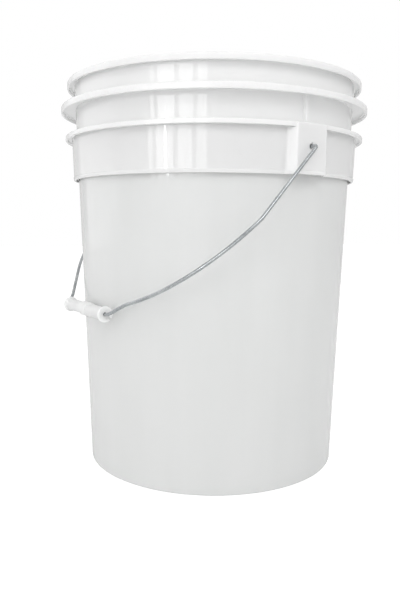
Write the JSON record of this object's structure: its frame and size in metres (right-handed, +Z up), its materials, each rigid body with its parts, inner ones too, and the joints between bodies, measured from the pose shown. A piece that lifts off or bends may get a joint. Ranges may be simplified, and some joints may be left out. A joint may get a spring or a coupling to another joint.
{
  "type": "plastic fermenting bucket",
  "caption": "Tall tapered translucent fermenting bucket with stacked rim rings, a stiffening skirt, side ears, and a swinging wire bail with a clip-on grip.",
  "frame": {"origin": "centre of the foot ring, on the floor that the bucket stands on", "axes": "+Z up along the bucket's axis; the bail's pivots lie along X; at rest the bail leans on the front wall, towards -Y"},
  "size_m": [0.3384, 0.325, 0.4],
  "materials": {
    "natural_plastic": "natural, unpigmented translucent polyethylene with a smooth moulded gloss",
    "galvanised_wire": "drawn, galvanised steel wire with a bright, slightly blue-grey zinc skin",
    "white_plastic": "opaque white moulded plastic, satin"
  },
  "bodies": {
    "bucket": {"bucket_shell": "natural_plastic"},
    "bail": {"bail_wire": "galvanised_wire"},
    "grip": {"bail_grip": "white_plastic"}
  },
  "joints": [
    {"name": "bail_swing", "type": "hinge", "parent": "bucket", "child": "bail", "pos_m": [0, 0, 0.3256], "axis": [-1, 0, 0], "range_deg": [0, 271]},
    {"name": "grip_spin", "type": "hinge", "parent": "bail", "child": "grip", "pos_m": [0, -0.15024, 0.17111], "axis": [1, 0, 0], "continuous": true}
  ]
}
